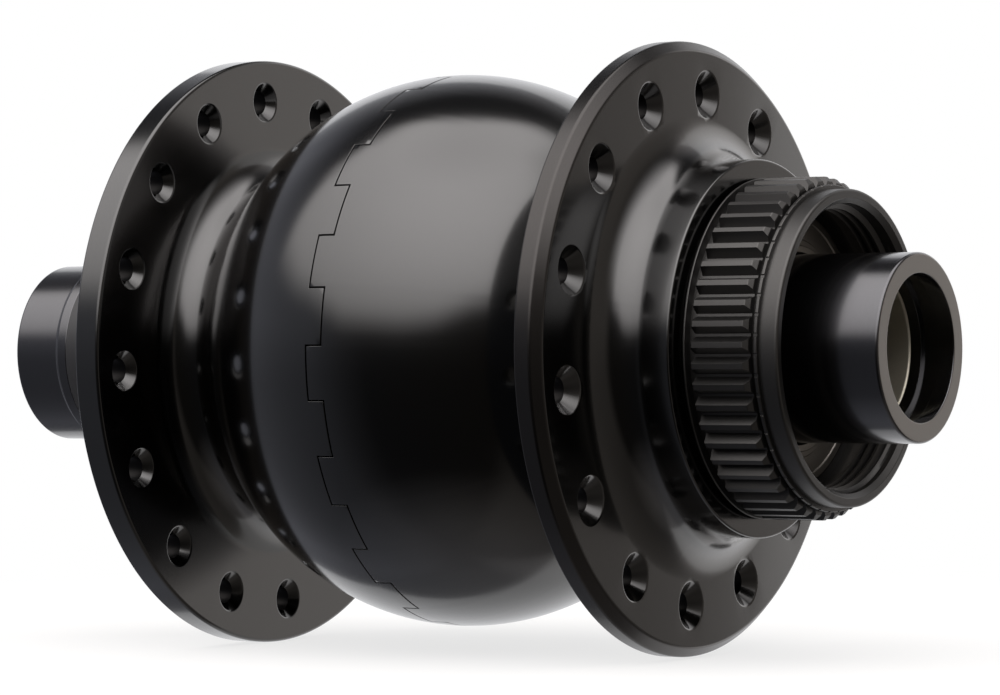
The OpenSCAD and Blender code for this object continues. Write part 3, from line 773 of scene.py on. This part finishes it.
# Bare turned aluminium: bright, a little warm, with lines round the axle
bareAluminium = hubFinish("turnedBareAluminium", "#b9b2a2", "#c6c0b2", 0.28, 0.05, 0.3, 0.0015,
                          turned=0.15)
# The tube's bore is reamed, which scatters the light more. Its colour is lighter than the turned
# aluminium's: painted light deep in the bore, where little light reaches
boreAluminiumPaintedLight = hubFinish("boreBareAluminiumPaintedLight", "#c9c4b4", "#d2cdbf", 0.5, 0.05, 0.3, 0.0015,
                           turned=0.15)
# Bearing steel: the rings' ground faces are cool and crisp, and the balls are mirrors
groundSteel = hubFinish("groundBearingSteel", "#b8babd", "#c4c6c9", 0.2, 0.04, 0.1, 0.0004,
                        turned=0.05)
polishedSteel = hubFinish("polishedSteelBalls", "#cfd0d2", "#d6d7d9", 0.08, 0.02, 0.1, 0.0001)
# Phosphated spring steel is dark and matt
springSteel = hubFinish("phosphatedSpringSteel", "#4c4e52", "#5e6064", 0.5, 0.08, 0.08, 0.002)
# Soft iron is stamped and left dull grey
softIron = hubFinish("softIron", "#6d6f74", "#7c7e82", 0.42, 0.08, 0.15, 0.002)
# Zinc plate has a cool half gloss
zincPlate = hubFinish("zincPlatedSteel", "#9b9ea3", "#a9acb0", 0.32, 0.06, 0.2, 0.0015, turned=0.2)
# Machined brass, yellow and bright
machinedBrass = hubFinish("machinedBrass", "#b58a4c", "#c2985a", 0.28, 0.05, 0.12, 0.001,
                          turned=0.1)
# Nitrile rubber is matt and almost black
blackRubber = hubFinish("nitrileRubber", "#1b1b1c", "#242425", 0.6, 0.06, 0.08, 0.003,
                        metallic=0.0, ior=1.52)
# Ground ferrite: a dark ceramic with a faint gloss
ferrite = hubFinish("groundFerrite", "#3c3d41", "#4a4b50", 0.45, 0.08, 0.1, 0.002,
                    metallic=0.0, ior=2.2)
# Moulded nylon has the mould's fine sparked texture, black for the connector and cream inside
blackNylon = hubFinish("mouldedBlackNylon", "#1c1c1e", "#262628", 0.42, 0.05, 0.12, 0.004,
                       metallic=0.0, ior=1.53)
naturalNylon = hubFinish("naturalNylon", "#cfc7b0", "#d9d2be", 0.45, 0.05, 0.2, 0.004,
                         metallic=0.0, ior=1.53)
# Enamelled copper: the windings read as close ribs 0.35 mm apart
copperWire = hubFinish("enamelledCopperWire", "#9c4a20", "#b55a28", 0.25, 0.05, 0.4, 0.03,
                       turned=0.35)


def dress(material, *pieces):
    for piece in pieces:
        target = nodes[piece] if isinstance(piece, str) else piece
        target.data.materials.clear()
        target.data.materials.append(material)


def dressFaces(material, piece, test):
    # A second finish for the faces that the test picks by place and normal
    piece.data.materials.append(material)
    slot = len(piece.data.materials) - 1
    count = 0
    for face in piece.data.polygons:
        if test(face.center / mm, face.normal):
            face.material_index = slot
            count += 1
    print("dressed", count, "faces of", piece.name, "with", material.name)


faceTests = {"flat": 0.99, "facing": 0.9, "near": 0.02, "capEndX": 54.9, "boreReach": 0.05}


def onFlange(spot, half):
    return half["flange"][0] < spot.x < half["flange"][1]


def onLeftFace(spot, normal):
    return abs(spot.x - leftHalf["flange"][1]) < faceTests["near"] and normal.x > faceTests["flat"]


def onRightRim(spot, normal):
    rim = rightHalf["flangeR"] - rightHalf["frontChamfer"]
    return onFlange(spot, rightHalf) and radiusOf(spot) > rim


def inLeftBore(spot, normal):
    reach = spokeHoles["radius"] + faceTests["boreReach"]
    return onFlange(spot, leftHalf) and inBore(spot, spokeHoles["left"], reach)


def inRightBore(spot, normal):
    reach = spokeHoles["radius"] + faceTests["boreReach"]
    return onFlange(spot, rightHalf) and inBore(spot, spokeHoles["right"], reach)


def onCapEnd(spot, normal):
    out = math.copysign(1, spot.x)
    return out * spot.x > faceTests["capEndX"] and out * normal.x > faceTests["facing"]


dress(blackAnodised, leftShell, rightShell)
dress(satinAnodised, rotorSeatPiece, lockringThread)
dress(capAnodised, rightCap, leftCap)
# The left flange's face carries a painted warm reflection in its colour
dressFaces(flangeFacePaintedReflection, leftShell, onLeftFace)
dressFaces(rimAnodised, rightShell, onRightRim)
# The spoke holes' bores get the darker black, which is painted shade
dressFaces(boreShadeAnodised, leftShell, inLeftBore)
dressFaces(boreShadeAnodised, rightShell, inRightBore)
dressFaces(blastedAnodised, rightCap, onCapEnd)
dressFaces(blastedAnodised, leftCap, onCapEnd)
# The tube's bore takes the lighter colour, which is painted light inside it
dress(boreAluminiumPaintedLight, axleTube)
dress(bareAluminium, "left_inner_spacer", "left_outer_spacer", "right_spacer")
# The dust covers' lighter grey is partly painted light
dress(coverAnodisedPaintedLight, rightDustCover, "left_dust_cover")
dress(groundSteel, "left_bearing_outer_ring", "left_bearing_inner_ring",
      "right_bearing_outer_ring", "right_bearing_inner_ring")
dress(polishedSteel, "left_bearing_balls", "right_bearing_balls")
dress(machinedBrass, "left_bearing_cage", "right_bearing_cage", "connector_blades")
dress(springSteel, "left_bearing_circlip", "right_bearing_circlip")
dress(blackRubber, "left_bearing_seals", "right_bearing_seals", "shell_seal_ring",
      "left_cap_o_ring", "right_cap_o_ring")
dress(ferrite, "rotor_magnets")
dress(softIron, "magnet_yoke_ring", "stator_core", "left_claw_plate", "right_claw_plate")
dress(zincPlate, "stator_nut")
dress(naturalNylon, "coil_bobbin")
dress(copperWire, "coil_winding", "coil_leads")
dress(blackNylon, "connector_housing")
print("materials set")


# A pale sweep behind, a wide soft panel overhead that reaches down in front, and dim sides

studio = {
    # Each curve runs over azimuth (from +X towards +Y) or elevation
    "panelEdge": [(-180, 52), (-172, 47), (-157, 27), (-142, 21), (-127, 18), (-112, 11),
                  (-82, 10), (-67, 12), (-52, 18), (-37, 21), (-22, 30), (-7, 38), (7, 46),
                  (22, 52), (37, 55), (67, 55), (82, 60), (97, 67), (112, 70), (127, 70),
                  (142, 67), (157, 62), (172, 59), (180, 53)],
    "panelBlur": [(-180, 7), (-37, 7), (-7, 20), (45, 20), (67, 8), (97, 5), (150, 5), (180, 7)],
    "panelLevel": [(-90, 0.0), (0, 0.7), (10, 1.0), (15, 1.3), (25, 1.8), (35, 2.15), (45, 2.4),
                   (55, 2.65), (70, 2.9), (90, 2.7)],
    "sideLevel": [(-180, 0.28), (-172, 0.26), (-157, 0.24), (-142, 0.2), (-127, 0.17),
                  (-112, 0.08), (-100, 0.03), (-37, 0.025), (-22, 0.15), (30, 0.17), (55, 0.14),
                  (58, 0.13), (61, 0.2), (64, 0.4), (80, 0.42), (95, 0.16), (140, 0.15),
                  (150, 0.22), (160, 0.32), (180, 0.28)],
    "sideHeight": [(-90, 0.0), (-75, 0.35), (-60, 0.6), (-40, 0.75), (-22, 0.95), (-8, 1.05),
                   (0, 1.3), (8, 1.6), (25, 1.5), (38, 0.9), (50, 0.12), (90, 0.05)],
    "floorGlow": [(-90, 0.27), (-75, 0.21), (-62, 0.1), (-50, 0.01), (0, 0.0), (90, 0.0)],
    "whiteSweep": [(-180, 0.0), (60, 0.0), (70, 0.1), (138, 0.1), (152, 0.0), (180, 0.0)],
    # The panel is brightest towards one side: azimuth and elevation, then level and slope
    "panelLean": (-60, 20), "panelBase": 0.77, "panelSlope": 0.51,
    "panelTint": "#fffbfa", "coolTint": "#f0f2ff", "warmTint": "#fff4ea",
    "warmthFrom": -0.5, "warmthTo": 0.6,
}

# Each curve with what it runs over, how far that reaches either way, and the curve's top value
studioCurves = [
    ("panelEdge", "around", 180, 90), ("panelBlur", "around", 180, 90),
    ("sideLevel", "around", 180, 1), ("whiteSweep", "around", 180, 1),
    ("panelLevel", "upwards", 90, 3), ("sideHeight", "upwards", 90, 1),
    ("floorGlow", "upwards", 90, 1),
]

# A white card close behind, which the left flange's face mirrors. It is set in metres
backCard = {"size": (0.288, 0.38), "place": (-0.056, 0.12, -0.072), "level": 0.46, "tip": -90}

# The floor lies under the flanges, in metres but for its height
paleFloor = {
    "height": -32.65, "radius": 1.6, "sides": 96, "paper": "#f2f1ef",
    "fadeFrom": 0.05, "fadeTo": 0.16, "leastWhite": 0.75,
}


def directionOf(azimuth, elevation):
    a, e = math.radians(azimuth), math.radians(elevation)
    return Vector((math.cos(e) * math.cos(a), math.cos(e) * math.sin(a), math.sin(e)))


def addBackCard():
    s = backCard
    data = bpy.data.lights.new("backCard", "AREA")
    data.shape = "RECTANGLE"
    data.size, data.size_y = s["size"]
    data.energy = s["level"] * math.pi * data.size * data.size_y
    made = bpy.data.objects.new("backCard", data)
    bpy.context.collection.objects.link(made)
    turn = Matrix.Rotation(math.radians(s["tip"]), 4, "X")
    made.matrix_world = Matrix.Translation(s["place"]) @ turn
    made.visible_camera = False


def addWorld():
    s = studio
    world = bpy.data.worlds.new("studio")
    bpy.context.scene.world = world
    world.use_nodes = True
    tree = world.node_tree
    tree.nodes.clear()

    # Where a ray goes, as azimuth and elevation
    way = addNode(tree, "ShaderNodeTexCoord").outputs["Generated"]
    parts = addNode(tree, "ShaderNodeSeparateXYZ", None, {0: way}).outputs
    azimuth = addNode(tree, "ShaderNodeMath", None, {0: parts["Y"], 1: parts["X"]},
                      operation="ARCTAN2").outputs[0]
    elevation = addNode(tree, "ShaderNodeMath", None, {0: parts["Z"]},
                        operation="ARCSINE").outputs[0]
    source = {
        "around": addNode(tree, "ShaderNodeMapRange", {"From Min": -math.pi, "From Max": math.pi},
                          {"Value": azimuth}).outputs[0],
        "upwards": addNode(tree, "ShaderNodeMapRange",
                           {"From Min": -math.pi / 2, "From Max": math.pi / 2},
                           {"Value": elevation}).outputs[0],
    }
    level = {}
    for name, over, reach, top in studioCurves:
        curve = addNode(tree, "ShaderNodeFloatCurve", None, {"Value": source[over]})
        line = curve.mapping.curves[0]
        spots = [((place + reach) / (2 * reach), value / top) for place, value in s[name]]
        line.points[0].location, line.points[-1].location = spots[0], spots[-1]
        for spot in spots[1:-1]:
            line.points.new(*spot)
        for point in line.points:
            point.handle_type = "VECTOR"
        curve.mapping.update()
        level[name] = addNode(tree, "ShaderNodeMath", {1: top}, {0: curve.outputs[0]},
                              operation="MULTIPLY").outputs[0]

    # The panel: full above its blurred edge, and brighter towards its lean
    degrees = addNode(tree, "ShaderNodeMath", None, {0: elevation}, operation="DEGREES").outputs[0]
    edge = {0: level["panelEdge"], 1: level["panelBlur"]}
    low = addNode(tree, "ShaderNodeMath", None, edge, operation="SUBTRACT").outputs[0]
    high = addNode(tree, "ShaderNodeMath", None, edge, operation="ADD").outputs[0]
    panel = addNode(tree, "ShaderNodeMapRange", {"To Min": 0.0, "To Max": 1.0},
                    {"Value": degrees, "From Min": low, "From Max": high},
                    interpolation_type="SMOOTHSTEP").outputs[0]
    towards = addNode(tree, "ShaderNodeVectorMath", {1: directionOf(*s["panelLean"])}, {0: way},
                      operation="DOT_PRODUCT").outputs["Value"]
    lean = addNode(tree, "ShaderNodeMath", {1: s["panelSlope"], 2: s["panelBase"]}, {0: towards},
                   operation="MULTIPLY_ADD").outputs[0]
    leaned = addNode(tree, "ShaderNodeMath", None, {0: level["panelLevel"], 1: lean},
                     operation="MULTIPLY").outputs[0]
    panelLight = addNode(tree, "ShaderNodeMath", None, {0: panel, 1: leaned},
                         operation="MULTIPLY").outputs[0]

    # The dim sides fill what the panel leaves, cooler on one side than on the other
    sides = addNode(tree, "ShaderNodeMath", None, {0: level["sideLevel"], 1: level["sideHeight"]},
                    operation="MULTIPLY").outputs[0]
    unlit = addNode(tree, "ShaderNodeMath", {0: 1.0}, {1: panel}, operation="SUBTRACT").outputs[0]
    shown = addNode(tree, "ShaderNodeMath", None, {0: sides, 1: unlit},
                    operation="MULTIPLY").outputs[0]
    sideLight = addNode(tree, "ShaderNodeMath", None, {0: shown, 1: level["floorGlow"]},
                        operation="ADD").outputs[0]
    warmth = addNode(tree, "ShaderNodeMapRange",
                     {"From Min": s["warmthFrom"], "From Max": s["warmthTo"]},
                     {"Value": parts["X"]}).outputs[0]
    sideTint = addNode(tree, "ShaderNodeMix",
                       {"A": linear(s["coolTint"]), "B": linear(s["warmTint"])},
                       {"Factor": warmth}, data_type="RGBA").outputs["Result"]
    first = addNode(tree, "ShaderNodeBackground", {"Color": linear(s["panelTint"])},
                    {"Strength": panelLight}).outputs[0]
    second = addNode(tree, "ShaderNodeBackground", None,
                     {"Color": sideTint, "Strength": sideLight}).outputs[0]
    light = addNode(tree, "ShaderNodeAddShader", None, {0: first, 1: second}).outputs[0]

    # The camera sees plain white, and shiny faces see a little of it in the sweep
    white = addNode(tree, "ShaderNodeBackground",
                    {"Color": (1, 1, 1, 1), "Strength": 1.0}).outputs[0]
    path = addNode(tree, "ShaderNodeLightPath").outputs
    sweep = addNode(tree, "ShaderNodeMath", None, {0: level["whiteSweep"], 1: level["sideHeight"]},
                    operation="MULTIPLY").outputs[0]
    shiny = addNode(tree, "ShaderNodeMath", None, {0: path["Is Glossy Ray"], 1: sweep},
                    operation="MULTIPLY").outputs[0]
    seen = addNode(tree, "ShaderNodeMath", None,
                   {0: path["Is Camera Ray"], 1: path["Is Transmission Ray"]},
                   operation="MAXIMUM").outputs[0]
    either = addNode(tree, "ShaderNodeMath", None, {0: seen, 1: shiny},
                     operation="MAXIMUM").outputs[0]
    mixed = addNode(tree, "ShaderNodeMixShader", None, {0: either, 1: light, 2: white}).outputs[0]
    addNode(tree, "ShaderNodeOutputWorld", None, {"Surface": mixed})


def addFloor():
    s = paleFloor
    deselectAll()
    bpy.ops.mesh.primitive_circle_add(vertices=s["sides"], radius=s["radius"], fill_type="NGON",
                                      location=(0, 0, s["height"] * mm))
    floor = bpy.context.object
    floor.name = "paleFloor"
    # Matt paper that fades to plain white away from the hub, so only its shadow is left
    material, tree = newMaterial("paleSweep")
    place = addNode(tree, "ShaderNodeTexCoord").outputs["Object"]
    far = addNode(tree, "ShaderNodeVectorMath", None, {0: place},
                  operation="LENGTH").outputs["Value"]
    fade = addNode(tree, "ShaderNodeMapRange", {"From Min": s["fadeFrom"], "From Max": s["fadeTo"]},
                   {"Value": far}, interpolation_type="SMOOTHSTEP").outputs[0]
    paper = addNode(tree, "ShaderNodeBsdfDiffuse", {"Color": linear(s["paper"])}).outputs[0]
    glow = addNode(tree, "ShaderNodeEmission", {"Color": (1, 1, 1, 1), "Strength": 1.0}).outputs[0]
    faint = addNode(tree, "ShaderNodeMapRange", {"To Min": s["leastWhite"], "To Max": 1.0},
                    {"Value": fade}).outputs[0]
    mixed = addNode(tree, "ShaderNodeMixShader", None, {0: faint, 1: paper, 2: glow}).outputs[0]
    path = addNode(tree, "ShaderNodeLightPath").outputs
    seen = addNode(tree, "ShaderNodeMixShader", None,
                   {0: path["Is Camera Ray"], 1: paper, 2: mixed}).outputs[0]
    addNode(tree, "ShaderNodeOutputMaterial", None, {"Surface": seen})
    floor.data.materials.append(material)
    floor.visible_glossy = False
    floor.visible_shadow = False


addBackCard()
addWorld()
addFloor()
bpy.context.scene.view_settings.view_transform = "Standard"
print("studio set")

bpy.context.view_layer.update()
